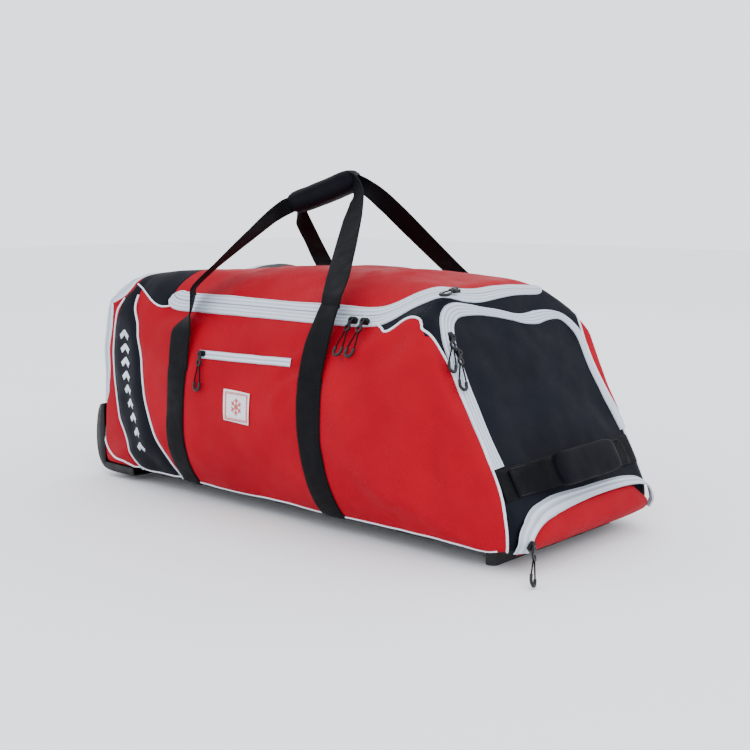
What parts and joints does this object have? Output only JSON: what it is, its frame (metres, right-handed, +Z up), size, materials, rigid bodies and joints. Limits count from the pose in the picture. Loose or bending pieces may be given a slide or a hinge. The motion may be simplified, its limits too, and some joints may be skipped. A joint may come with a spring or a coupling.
{
  "type": "wheeled equipment bag",
  "caption": "Wheeled duffel for sports equipment: zip lid over one long compartment, end and front zip pockets, folding carry handles with a padded grip, tow handle, wheels and foot bar.",
  "frame": {"origin": "On the floor under the middle of the bag: the centre of the footprint of its overall box, at the height of the wheels' and foot bar's contact.", "axes": "+X runs from the wheel end to the sloped drop end, +Y from the long side with the small zip pocket to the rear long side, where the lid is hinged, and +Z is up."},
  "size_m": [0.9654, 0.4652, 0.5332],
  "materials": {
    "red_fabric": "coated polyester with a fine diagonal rib",
    "black_fabric": "coated polyester with a fine diagonal rib",
    "stiffener": "flat extruded board",
    "zip_tape": "woven tape over a nylon coil",
    "patch_fabric": "sewn patch",
    "webbing": "polypropylene webbing",
    "padding": "foam under coated polyester",
    "moulded_black": "injection moulded, fine texture",
    "rubber": "matt",
    "tyre": "polyurethane, lightly scuffed",
    "steel": "zinc plated",
    "slider_metal": "black enamel on die-cast zinc",
    "pull_plastic": "moulded nylon",
    "cord": "braided polyester cord"
  },
  "bodies": {
    "shell": {"band_panels": "black_fabric", "base_board": "stiffener", "base_panel": "black_fabric", "bottom_pocket_panel": "red_fabric", "bottom_pocket_zip": "zip_tape", "corner_panels": "red_fabric", "drop_end_panel": "black_fabric", "emblem_patch": "patch_fabric", "end_pocket_zip": "zip_tape", "foot_bar": "rubber", "front_panel": "red_fabric", "front_pocket_bag": "black_fabric", "front_pocket_zip": "zip_tape", "front_sewn_straps": "webbing", "kick_plate": "moulded_black", "kick_plate_screws": "steel", "lid_zip_lower_tape": "zip_tape", "rear_panel": "red_fabric", "rear_sewn_straps": "webbing", "top_gussets": "black_fabric", "tow_handle_pad": "padding", "tow_webbing": "webbing", "wheel_axles": "steel", "wheel_bearings": "steel", "wheel_end_panel": "red_fabric", "wheel_end_zip": "zip_tape", "wheel_housings": "moulded_black"},
    "lid": {"lid_panel": "red_fabric", "lid_zip_upper_tape": "zip_tape"},
    "front_handle": {"front_handle_webbing": "webbing", "grip_pad": "padding"},
    "rear_handle": {"rear_handle_webbing": "webbing"},
    "left_wheel": {"left_tyre": "tyre", "left_hub": "moulded_black"},
    "right_wheel": {"right_tyre": "tyre", "right_hub": "moulded_black"},
    "pocket_slider": {"slider_pocket": "slider_metal"},
    "pocket_pull": {"pull_pocket": "pull_plastic", "cord_pocket": "cord"},
    "lid_a_slider": {"slider_lid_a": "slider_metal"},
    "lid_a_pull": {"pull_lid_a": "pull_plastic", "cord_lid_a": "cord"},
    "lid_b_slider": {"slider_lid_b": "slider_metal"},
    "lid_b_pull": {"pull_lid_b": "pull_plastic", "cord_lid_b": "cord"},
    "lid_c_slider": {"slider_lid_c": "slider_metal"},
    "lid_c_pull": {"pull_lid_c": "pull_plastic", "cord_lid_c": "cord"},
    "end_a_slider": {"slider_end_a": "slider_metal"},
    "end_a_pull": {"pull_end_a": "pull_plastic", "cord_end_a": "cord"},
    "end_b_slider": {"slider_end_b": "slider_metal"},
    "end_b_pull": {"pull_end_b": "pull_plastic", "cord_end_b": "cord"},
    "low_slider": {"slider_low": "slider_metal"},
    "low_pull": {"pull_low": "pull_plastic", "cord_low": "cord"},
    "wheel_end_slider": {"slider_wheel_end": "slider_metal"},
    "wheel_end_pull": {"pull_wheel_end": "pull_plastic", "cord_wheel_end": "cord"}
  },
  "joints": [
    {"name": "lid_open", "type": "hinge", "parent": "shell", "child": "lid", "pos_m": [0, 0.174, 0.3223], "axis": [-1, 0, 0], "range_deg": [0, 66]},
    {"name": "front_handle_fold", "type": "hinge", "parent": "shell", "child": "front_handle", "pos_m": [0, -0.188, 0.346], "axis": [1, 0, 0], "range_deg": [0, 198]},
    {"name": "rear_handle_fold", "type": "hinge", "parent": "shell", "child": "rear_handle", "pos_m": [0, 0.188, 0.346], "axis": [-1, 0, 0], "range_deg": [0, 198]},
    {"name": "left_wheel_spin", "type": "hinge", "parent": "shell", "child": "left_wheel", "pos_m": [-0.418, -0.115, 0.032], "axis": [0, 1, 0], "continuous": true},
    {"name": "right_wheel_spin", "type": "hinge", "parent": "shell", "child": "right_wheel", "pos_m": [-0.418, 0.115, 0.032], "axis": [0, 1, 0], "continuous": true},
    {"name": "pocket_slide", "type": "slide", "parent": "shell", "child": "pocket_slider", "axis": [1, 0, 0], "range_m": [0, 0.178]},
    {"name": "pocket_pull_swing", "type": "hinge", "parent": "pocket_slider", "child": "pocket_pull", "pos_m": [-0.107, -0.22381, 0.25157], "axis": [-1, 0, 0], "range_deg": [0, 150]},
    {"name": "lid_a_slide", "type": "slide", "parent": "shell", "child": "lid_a_slider", "axis": [1, 0, 0], "range_m": [-0.008, 0]},
    {"name": "lid_a_pull_swing", "type": "hinge", "parent": "lid_a_slider", "child": "lid_a_pull", "pos_m": [0.178, -0.18697, 0.3211], "axis": [-1, 0, 0], "range_deg": [0, 150]},
    {"name": "lid_b_slide", "type": "slide", "parent": "shell", "child": "lid_b_slider", "axis": [1, 0, 0], "range_m": [0, 0.008]},
    {"name": "lid_b_pull_swing", "type": "hinge", "parent": "lid_b_slider", "child": "lid_b_pull", "pos_m": [0.2, -0.18697, 0.3211], "axis": [-1, 0, 0], "range_deg": [0, 150]},
    {"name": "lid_c_slide", "type": "slide", "parent": "shell", "child": "lid_c_slider", "axis": [0, 1, 0], "range_m": [0, 0.085]},
    {"name": "lid_c_pull_swing", "type": "hinge", "parent": "lid_c_slider", "child": "lid_c_pull", "pos_m": [0.2915, -0.096, 0.36457], "axis": [-0.9312, -0.3644, 0], "range_deg": [0, 120]},
    {"name": "end_a_slide", "type": "slide", "parent": "shell", "child": "end_a_slider", "axis": [-0.4886, 0, 0.8725], "range_m": [-0.13, 0]},
    {"name": "end_a_pull_swing", "type": "hinge", "parent": "end_a_slider", "child": "end_a_pull", "pos_m": [0.32714, -0.146, 0.30445], "axis": [-0.2663, -0.8384, 0.4755], "range_deg": [0, 150]},
    {"name": "end_b_slide", "type": "slide", "parent": "shell", "child": "end_b_slider", "axis": [-0.4886, 0, 0.8725], "range_m": [-0.13, 0]},
    {"name": "end_b_pull_swing", "type": "hinge", "parent": "end_b_slider", "child": "end_b_pull", "pos_m": [0.33834, -0.146, 0.28445], "axis": [-0.2005, -0.9119, 0.358], "range_deg": [0, 150]},
    {"name": "low_slide", "type": "slide", "parent": "shell", "child": "low_slider", "axis": [0, 0.7507, 0.6606], "range_m": [0, 0.045]},
    {"name": "low_pull_swing", "type": "hinge", "parent": "low_slider", "child": "low_pull", "pos_m": [0.4721, -0.157, 0.042], "axis": [0, -0.6847, 0.7288], "range_deg": [0, 80]},
    {"name": "wheel_end_slide", "type": "slide", "parent": "shell", "child": "wheel_end_slider", "axis": [0.3219, 0, 0.9468], "range_m": [-0.1, 0]},
    {"name": "wheel_end_pull_swing", "type": "hinge", "parent": "wheel_end_slider", "child": "wheel_end_pull", "pos_m": [-0.41064, -0.15, 0.28245], "axis": [0, 1, 0], "range_deg": [0, 150]}
  ],
  "couplings": [
    {"joint": "front_handle_fold", "follows": "lid_open", "ratio": 3},
    {"joint": "rear_handle_fold", "follows": "lid_open", "ratio": 3},
    {"joint": "end_a_slide", "follows": "end_b_slide", "ratio": 1}
  ]
}
